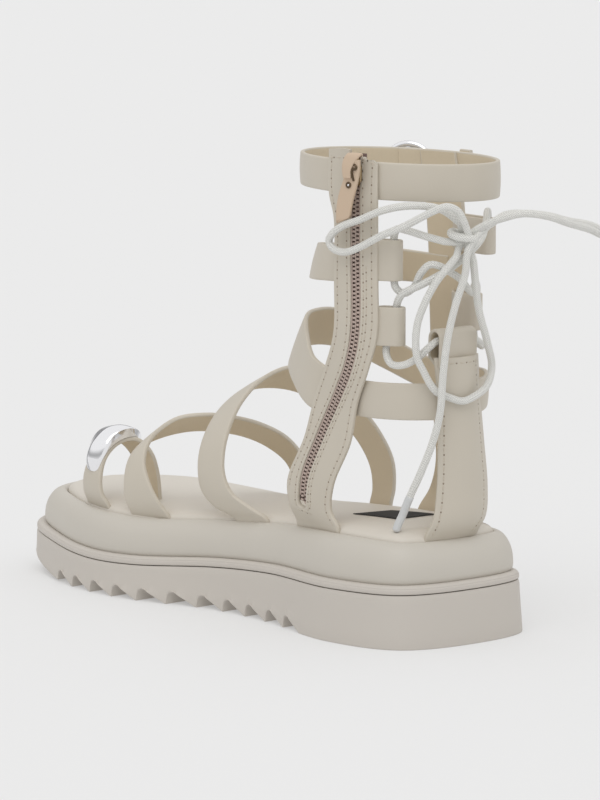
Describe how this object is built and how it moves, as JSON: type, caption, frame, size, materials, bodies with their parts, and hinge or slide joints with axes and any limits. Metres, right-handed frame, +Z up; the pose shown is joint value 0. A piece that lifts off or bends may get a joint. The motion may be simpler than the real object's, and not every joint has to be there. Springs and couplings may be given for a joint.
{
  "type": "gladiator sandal",
  "caption": "Right-foot platform gladiator sandal in bone leather: caged ankle shaft with side zip, collar buckle, heel lacing with a bow, padded midsole and toothed outsole.",
  "frame": {"origin": "under the middle of the sandal's bounding box, at ground level, measured without the free cords", "axes": "+Y towards the toe, +X towards the outer side of the foot, +Z up"},
  "size_m": [0.1073, 0.2918, 0.1975],
  "materials": {
    "outsole_rubber": "matte moulded rubber",
    "midsole_cover": "smooth, satin",
    "insole_lining": "smooth, satin",
    "strap_leather": "smooth, satin",
    "bright_metal": "polished",
    "zip_coil": "woven tape with moulded coil",
    "zip_brass": "polished",
    "pull_leather": "matte",
    "lace_cord": "braided round cord"
  },
  "bodies": {
    "sandal": {"outsole": "outsole_rubber", "welt": "outsole_rubber", "midsole": "midsole_cover", "insole": "insole_lining", "toe_loop": "strap_leather", "strap_ball": "strap_leather", "strap_instep": "strap_leather", "upper": "strap_leather", "toe_ornament": "bright_metal", "zip_teeth": "zip_coil", "zip_slider": "zip_brass", "buckle": "bright_metal", "lace_crossings": "lace_cord", "lace_knot": "lace_cord", "lace_loop_left": "lace_cord", "lace_loop_right": "lace_cord", "lace_loop_down": "lace_cord", "lace_end": "lace_cord"},
    "zip_pull": {"zip_link": "zip_brass", "zip_tab": "pull_leather"}
  },
  "joints": [
    {"name": "pull_swing", "type": "hinge", "parent": "sandal", "child": "zip_pull", "pos_m": [-0.03889, -0.09591, 0.195], "axis": [-0.2402, 0.9707, 0], "range_deg": [0, 150]}
  ]
}
